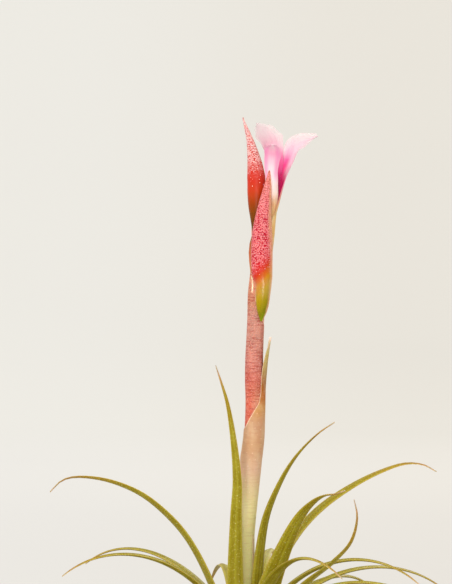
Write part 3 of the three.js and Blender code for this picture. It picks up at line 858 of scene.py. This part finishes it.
NECK = 76.5
THROAT = 80.5
FLOWER_X = [(SHOULDER, 2.2), (68, 2.57), (71, 3.0), (NECK, 3.64), (THROAT, 4.1), (84.5, 4.25)]
FLOWER_Y = [(SHOULDER, -0.35), (66, -0.1), (71, 0.1), (NECK, 0.1), (84.5, 0.05)]
SEPAL_TIP = 1.8  # how far the sepals' thin tips lie on the tube
SEPAL_LAP = 0.05  # how far one sepal lies inside the next
SEPAL_GRID = (48, 20)
SEPAL_RADIUS = [(SHOULDER, 0.3), (66, 0.54), (70, 0.7), (74, 0.72), (76.1, 0.69), (NECK, 0.65)]


def flower_axis(z, out=0.0, azimuth=0.0):
    """A point at a height, out from the flower's axis on one side."""
    turn = radians(azimuth)
    x = along(FLOWER_X, z) + out * cos(turn)
    return (x, along(FLOWER_Y, z) + out * sin(turn), z)


def sepal(azimuth, rank):
    """One of three sepals that overlap round the tube. A lower rank lies further in."""
    top = NECK + SEPAL_TIP
    inset = SEPAL_LAP * (2 - rank)
    heights = np.linspace(SHOULDER, top, 9)
    path = [flower_axis(z, along(SEPAL_RADIUS, z) - inset + 0.04, azimuth) for z in heights]

    def section(share, sides):
        z = mix(SHOULDER, top, share)
        close = along([(0, 78), (0.78, 76), (0.9, 48), (1, 4)], share)
        radius = along(SEPAL_RADIUS, z) - inset
        return {"radius": radius, "curl": np.radians(close), "mid": 0.2, "edge": 0.05}

    return blade(path, azimuth, *SEPAL_GRID, section, tint=rank / 2)


def calyx():
    core = tube([(flower_axis(z), along(SEPAL_RADIUS, z) - 0.2) for z in (64, 65, 66, 70, 74, 76)], 20)
    return [core, *[sepal(azimuth, rank) for rank, azimuth in enumerate((90, 210, -30))]]


# Each petal: the side that it grows on, its tilt, its width at places and its path above the claw
PETALS = {
    "petal_right": (32, 28, [(0.14, 1.1), (0.4, 1.2), (0.55, 1.02), (0.75, 0.94), (1, 0.9)], [
        (4.55, 0.45, 78.6), (5.1, 0.76, 81), (5.66, 1.02, 83.2), (6.35, 1.3, 85), (7.1, 1.6, 86.8),
        (8.3, 1.85, 87.75), (9.4, 2.0, 88.2), (10.2, 2.1, 88.45)]),
    "petal_back": (115, 24, [(0.35, 0.92), (0.6, 1.0), (0.78, 1.38)], [
        (3.7, 0.66, 78.6), (3.85, 0.95, 81), (4.0, 1.3, 84), (3.74, 1.7, 86.2), (3.15, 2.2, 87.9),
        (2.5, 2.7, 89.2), (1.8, 3.1, 90.3)]),
    "petal_front": (-104, 0, [(0.14, 0.95), (0.3, 0.88), (0.5, 0.66), (0.7, 0.64), (1, 0.72)], [
        (3.78, -0.62, 78.6), (3.68, -0.92, 81), (3.6, -1.25, 83.6), (3.7, -1.8, 85.4),
        (3.78, -2.5, 86.4), (3.82, -3.3, 86.9)]),
}
CLAW = 2.3  # length of the claw below the part that the paths above give
PETAL_HALF = [
    (-0.25, 0.66), (0, 1.05), (0.14, 1.12), (0.3, 1.16), (0.55, 1.6), (0.78, 1.95), (0.92, 1.4),
    (1, 0.5)]
PETAL_CURL = [(-0.25, 84), (0, 80), (0.14, 74), (0.3, 58), (0.6, 38), (1, 22)]
PETAL_RIPPLE = 0.2
PETAL_GRID = (64, 28)


def petal(number, azimuth, tilt, width, path):
    claw = [flower_axis(z, out, azimuth) for z, out in ((76.3, 0.5), (77.4, 0.6))]
    points, _ = curve_through(path, 40)
    upper = np.linalg.norm(np.diff(points, axis=0), axis=1).sum()
    start = CLAW / (CLAW + upper)

    def section(share, sides):
        place = (share - start) / (1 - start)
        curl = np.radians(along(PETAL_CURL, place))
        ripple = PETAL_RIPPLE * along([(0.5, 0), (1, 1)], place)
        broad = sides**2 * np.sin(place * 17 + sides * 2 + number * 1.7)
        fine = 0.45 * sides**4 * np.sin(place * 47 + sides * 5 + number)
        radius = along(PETAL_HALF, place) * along(width, place) / curl
        mid, wave = along([(0, 0.16), (1, 0.1)], share), ripple * (broad + fine)
        return {"radius": radius, "curl": curl, "mid": mid, "edge": 0.04, "wave": wave}

    return [blade([*claw, *path], azimuth, *PETAL_GRID, section, tilt)]


ANTHERS = 6
ANTHER_RADIUS = 0.14
ANTHER_STRETCH = 2.8
ANTHER_HEIGHT = 83
ANTHER_RING = 0.24
ANTHER_STEP = 0.34  # how much higher every other anther stands
BEAD_RINGS = 9


def spindle(middle, radius, stretch):
    """A closed long bead."""
    levels = []
    for k in range(1, BEAD_RINGS):
        turn = pi * k / BEAD_RINGS
        z = middle[2] - radius * stretch * cos(turn)
        levels.append(((middle[0], middle[1], z), radius * sin(turn)))
    return tube(levels, 12)


def filaments():
    made = [tube([(flower_axis(z), r) for z, r in ((77, 0.09), (80.8, 0.09), (83.7, 0.08))], 10)]
    for i in range(3):
        made.append(spindle(flower_axis(83.8, 0.09, 120 * i), 0.09, 2.2))
    for i in range(ANTHERS):
        angle = 360 * i / ANTHERS
        z = ANTHER_HEIGHT + ANTHER_STEP * (i % 2)
        path = [(77.5, 0.18), (80.8, 0.24), (z - 0.3, ANTHER_RING)]
        made.append(tube([(flower_axis(h, out, angle), 0.05) for h, out in path], 8))
    return made


def anthers():
    made = []
    for i in range(ANTHERS):
        place = flower_axis(ANTHER_HEIGHT + ANTHER_STEP * (i % 2), ANTHER_RING, 360 * i / ANTHERS)
        made.append(spindle(place, ANTHER_RADIUS, ANTHER_STRETCH))
    return made


BUD = [
    (75, 1.6, 1.2, 0.34), (76, 1.58, 1.19, 0.43), (77, 1.55, 1.17, 0.5), (78.5, 1.5, 1.15, 0.53),
    (80, 1.45, 1.13, 0.54), (81.5, 1.4, 1.11, 0.5), (83, 1.35, 1.09, 0.42), (84.4, 1.3, 1.07, 0.28),
    (85.2, 1.26, 1.06, 0.16), (85.6, 1.25, 1.05, 0.05)]


def bud():
    levels = []
    for z, x, y, r in BUD:
        levels.append(((x, y, z), lambda a, r=r, z=z: r * (0.95 + 0.05 * np.cos(3 * a + 0.2 * z))))
    return [tube(levels, 36)]


# Where scales stand


def on_leaves(points, numbers):
    """Sparse, on both faces, and none at the thread tips."""
    return np.where((numbers["along"] > 0.12) & (numbers["along"] < 0.93), 1.0, 0.0)


def outside_only(points, numbers):
    return 1.0 - numbers["inner"]


def above(low, high):
    """A rule for scales on the outer face that thicken from one height to another."""

    def rule(points, numbers):
        share = np.clip((points[:, 2] - low) / (high - low), 0, 1)
        return share * (1.0 - numbers["inner"])

    return rule


# The stage


LENS = 176.1
CAMERA_PLACE = (-2.66 * MM, -400 * MM, 66.5 * MM)
LIT_PLACE = (0.0, 0.0, 0.055)  # the middle of the plant, which every light looks at
STAGE_SIDES = 96
STAGE_PROFILE = [
    (0, 0), (0.25, 0), (0.6, 0), (0.95, 0), (1.15, 0.04), (1.32, 0.14), (1.44, 0.3),
    (1.5, 0.55), (1.5, 1.6)]


def add_camera():
    data = bpy.data.cameras.new("camera")
    data.lens = LENS
    data.sensor_width = 36
    data.clip_start = 0.01
    data.clip_end = 20
    camera = link(bpy.data.objects.new("camera", data))
    camera.location = CAMERA_PLACE
    camera.rotation_euler = (radians(90), 0, 0)
    bpy.context.scene.camera = camera


def add_stage():
    """A pale floor that curves up all round into a wall, painted darker and warmer to the right as
    painted shade.
    """
    points, faces = [(0.0, 0.0, 0.0)], []
    for radius, height in STAGE_PROFILE[1:]:
        for i in range(STAGE_SIDES):
            turn = 2 * pi * i / STAGE_SIDES
            points.append((radius * cos(turn), radius * sin(turn), height))
    for i in range(STAGE_SIDES):
        j = (i + 1) % STAGE_SIDES
        faces.append((0, 1 + i, 1 + j))
        for k in range(len(STAGE_PROFILE) - 2):
            a, b = 1 + k * STAGE_SIDES, 1 + (k + 1) * STAGE_SIDES
            faces.append((a + i, b + i, b + j, a + j))
    mesh = bpy.data.meshes.new("stage")
    mesh.from_pydata(points, [], faces)
    mesh.shade_smooth()
    f = Finish("stage")
    distance = f.node("ShaderNodeVectorMath", {"operation": "LENGTH"}, {0: f.place}, out="Value")
    glow = f.colours(f.height + distance, [
        (450, 0xb1b0af), (730, 0xb8b7b5), (980, 0xc3c2be), (1200, 0xc7c6c2), (1700, 0xc7c6c2)])
    # Painted shade: the stage's colour and glow are darker and warmer to the right
    right = f.between(f.axis("X"), -100, 100)
    f.body = f.mixed(right, srgb(0x96948f), srgb(0x928f88))
    glow = f.mixed(right, glow, (0.975, 0.955, 0.935, 1.0), "MULTIPLY")
    finish = f.made(Roughness=1.0, Specular_IOR_Level=0.0, Emission_Color=glow, Emission_Strength=1.0)
    mesh.materials.append(finish)
    link(bpy.data.objects.new("stage", mesh))


def add_light(name, place, size, power, colour=(1.0, 1.0, 1.0), only=None):
    """A soft square light that looks at the middle of the plant.

    It lights the stage as well, unless a collection is given for the things that it alone lights.
    """
    data = bpy.data.lights.new(name, "AREA")
    data.size = size
    data.energy = power
    data.color = colour
    light = link(bpy.data.objects.new(name, data))
    light.light_linking.receiver_collection = only
    light.location = place
    x, y, z = np.array(LIT_PLACE) - np.array(place)
    light.rotation_euler = (atan2(hypot(x, y), -z), 0.0, atan2(y, x) - pi / 2)


def add_world():
    world = bpy.data.worlds.new("studio")
    world.use_nodes = True
    background = world.node_tree.nodes["Background"]
    background.inputs["Color"].default_value = srgb(0xf6f4f0)
    background.inputs["Strength"].default_value = 0.9
    bpy.context.scene.world = world


add_camera()
add_stage()
add_world()
add_light("key", (-0.45, -0.55, 0.6), 0.35, 4.2, (1.0, 0.98, 0.95))
add_light("front", (-0.04, -0.8, 0.1), 0.24, 1.8, only=plant_pieces)
add_light("fill", (0.6, -0.5, 0.35), 0.5, 0.8)
add_light("rim", (0.25, 0.7, 0.55), 0.4, 2.6)
bpy.context.scene.view_settings.view_transform = "Standard"

# The plant

leaf_scale = scale_finish("leaf_scale", 0xc8be7a)
pink_scale = scale_finish("pink_scale", 0xee9c9c)
pale_scale = scale_finish("pale_scale", 0xf0ceb6)
white_scale = scale_finish("white_scale", 0xf8d6ca)

piece("foot", "stem_foot", foot(), bark_finish())
piece("withered_leaves", "stem_foot", withered_leaves(), withered_finish())
piece(
    "leaves", "leaf_rosette", leaves(), leaf_finish(), on_leaves,
    (0.72, 0.055, 12, 3, leaf_scale),
)

PALE = [
    (22, 0xd9d589), (36.7, 0xe5d9a1), (38.8, 0xd9c294), (41.6, 0xcea78b), (45, 0xbf936c),
    (48, 0xbd8f6d), (50.4, 0xbf894b), (52, 0xab6020), (54, 0x8f5812), (55.6, 0x916c15),
    (57.6, 0xb09f56), (59.2, 0xc2b38d), (60.2, 0xd1c8c7)]
PINK = [
    (45, 0x8f6940), (48.5, 0x9d764b), (51.4, 0xb47452), (54.2, 0xa74033), (57, 0xae6961),
    (60, 0xa67467), (63, 0xb07e70), (66, 0xa96f49), (69.3, 0xa96d46)]
RACHIS_COLOURS = [(60, 0xbe8256), (69, 0xb46c46), (72, 0xb05c3a), (75, 0x805422)]

piece(
    "scape_stalk", "scape", stalk(),
    scape_bract_finish("stalk", [PALE[0], PALE[4], *RACHIS_COLOURS], 0xd69668),
)

# For each bract of the scape: its form, its looks, and its standing scales
SCAPE_BRACTS = {
    "low": (
        dict(azimuth=150, start=22.5, end=42,
             wrap=[(0, 178), (0.5, 176), (0.57, 118), (0.8, 50), (1, 12)],
             lift=[(0, 0), (0.7, 0.05), (1, 0.5)], sink=[(0, 0), (1, 0)], tip=0.5),
        dict(stops=PALE, silver=0xded0a0),
        (0.5, 0.05, 12, 5, pale_scale)),
    "pale": (
        dict(azimuth=-8, start=32, end=60.2,
             wrap=[
                 (0, 176), (0.535, 175), (0.556, 138), (0.606, 106), (0.652, 80), (0.675, 65),
                 (0.72, 61), (0.845, 76), (0.918, 74), (0.965, 58), (1, 8)],
             lift=[(0, 0), (0.6, 0.04), (0.78, 0.2), (0.845, 0.48), (0.92, 0.76), (1, 0.95)],
             sink=[(0, 0.16), (0.06, 0.0)], tip=0.3, clasped=0.6),
        dict(stops=PALE, silver=0xecd6b4, size=0.5),
        (0.8, 0.045, 12, 7, pale_scale)),
    "pink": (
        dict(azimuth=190, start=45, end=69.3,
             wrap=[
                 (0, 165), (0.69, 165), (0.785, 92), (0.84, 80), (0.93, 74), (0.965, 56), (0.985, 36),
                 (1, 10)],
             lift=[(0, 0), (0.6, 0.1), (0.85, 0.08), (0.94, -0.04), (1, -0.3)],
             sink=[(0, 0.2), (0.24, 0.14), (0.38, 0.0)], tip=1.0),
        # The pink bract: a red flush on the left, a right side darkened partly as painted shade, and a
        # painted highlight near its front margin
        dict(stops=PINK, silver=0xeca08c, size=0.19, cover=0.6, bright=0.6, cracked=0.6,
             redness=(49, 57, 0xce3226), painted_highlight=(66.2, 68.9)),
        (0.34, 0.045, 12, 9, pink_scale)),
}
for name, (form, looks, scales) in SCAPE_BRACTS.items():
    finish = scape_bract_finish(f"{name}_bract", **looks)
    piece(f"scape_bract_{name}", "scape", scape_bract(**form), finish, outside_only, scales)

# For each floral bract: its form, its looks, between which heights its scales thicken, and the scales
FLORAL_BRACTS = {
    "front": (
        FRONT_BRACT,
        dict(stops=[
            (62.2, 0x788e00), (63.4, 0x7a7600), (65, 0x9a8400), (66.4, 0xae8a00), (67.0, 0xb27c00),
            (67.6, 0xbc7d0a), (68.3, 0xbf6014), (69.3, 0xbe300e), (70.4, 0xbe1216), (72, 0xb60626),
            (76.5, 0xb21830), (78.8, 0xb63842), (80.5, 0xbc5c54), (82.5, 0xba684c), (84, 0xb26840)],
            coat=(68.9, 71.6), silver=0xec8688, margin=0xe2a87e, edge=(0.64, 0.98),
            lean=0.24, slant=1.1, gloss=1.0),
        (68.6, 70.8), (0.26, 0.06, 14, 11, pink_scale)),
    "left": (
        LEFT_BRACT,
        # The lowest stops, dark brown-olive, are partly the bract's own colour and partly painted shade
        # where its foot tucks behind the front bract
        dict(stops=[
            (73.6, 0x543c0e), (75.5, 0x5c3606), (77.5, 0x783c00), (79, 0x983a00), (80.6, 0xbb3814),
            (82, 0xc1301e), (84.4, 0xc22e22), (86, 0xc4423e), (88.5, 0xce7070), (91, 0xcc8486)],
            coat=(82.0, 86.4), silver=0xfcd6d4, margin=0xbe5c2c, edge=(0.86, 1.1),
            size=0.22, cover=0.8, gloss=0.05),
        (80.8, 85.5), (0.3, 0.055, 16, 13, white_scale)),
    "back": (
        BACK_BRACT,
        dict(stops=[(70.2, 0x8c6414), (73, 0xba4c22), (76, 0xcc322c), (81, 0xcc4246), (84.8, 0xd47c74)],
            coat=(73.0, 76.5), silver=0xf29c98, margin=0xd48264),
        (73.0, 77.0), (0.26, 0.06, 14, 15, pink_scale)),
}
for name, (form, looks, heights, scales) in FLORAL_BRACTS.items():
    finish = floral_bract_finish(f"{name}_bract", **looks)
    piece(f"bract_{name}", f"floral_bract_{name}", floral_bract(**form), finish,
          above(*heights), scales)

piece("sepals_detail", "sepals", calyx(), sepal_finish("sepal", [
    (64, 0xaf862e), (68, 0xbd8c3e), (72, 0xc7964f), (75, 0xd4aa6a), (76.5, 0xd8b076)]))

CLAW_COLOURS = [(0, 0xd0a462), (0.2, 0xd8a876), (0.28, 0xe2b89a), (0.36, 0xf8d6cc)]
THROAT_COLOURS = [(0, 0xda427e), (0.36, 0xd62874), (0.46, 0xd82876)]
# For each petal: the colours of its outside and of its throat, from where its margins are pale, how
# thin its tip is, how pink its sides are beside a middle left pale as a painted highlight, and how pale
# one side of its throat is
PETAL_LOOKS = {
    "petal_right": ([
        (0, 0xd4ac6c), (0.14, 0xdab278), (0.22, 0xd69674), (0.3, 0xdc7e80), (0.4, 0xe88aa6),
        (0.6, 0xecacc0), (0.8, 0xe2bec6), (1, 0xe6d0d2)], [
        *THROAT_COLOURS, (0.55, 0xdc387e), (0.63, 0xe45894), (0.7, 0xe8a8be), (0.8, 0xe4c4ca),
        (1, 0xe6dad8)], 0.4, 0.2, 0.0, 0.85),
    "petal_back": ([
        *CLAW_COLOURS, (0.5, 0xecbece), (0.8, 0xe0bac2), (1, 0xe2c4c8)], [
        *THROAT_COLOURS, (0.58, 0xe85c94), (0.66, 0xec80a8), (0.76, 0xeaacbe), (0.86, 0xe6c2cc),
        (1, 0xe8d6d8)], 0.6, 0.45, 0.0, 0.0),
    # The front petal's outside is near white from 0.36 to 0.77 of its length, partly its own pale colour
    # and partly a painted highlight where light comes through; it is paler again at the tip, painted
    # light over the shade along its top edge
    "petal_front": ([
        *CLAW_COLOURS, (0.55, 0xfcd6dc), (0.68, 0xfdd2dc), (0.77, 0xfcc2d4), (0.84, 0xf8aec8),
        (0.92, 0xfcc2d4), (1, 0xfed6e0)], [
        *THROAT_COLOURS, (0.7, 0xe46096), (0.85, 0xf08cb6), (1, 0xf6c4d6)], 0.85, 0.2, 0.7, 0.0),
}
for number, (name, shape) in enumerate(PETALS.items()):
    piece(name, "petals", petal(number, *shape), petal_finish(name, *PETAL_LOOKS[name]))

piece("filaments", "stamens_and_style", filaments(),
      plain_finish("filament", 0xfae8e2, 0xfad6dc, 0.3, 0.4))
piece("anthers", "stamens_and_style", anthers(),
      plain_finish("anther", 0xe8ca5c, 0xd2a83c, 0.08, 0.85))
piece("bud", "flower_bud", bud(), sepal_finish("bud", [
    (75, 0xceb26e), (79, 0xe4c496), (83, 0xf0c4b4), (85.6, 0xeca0a6)]))
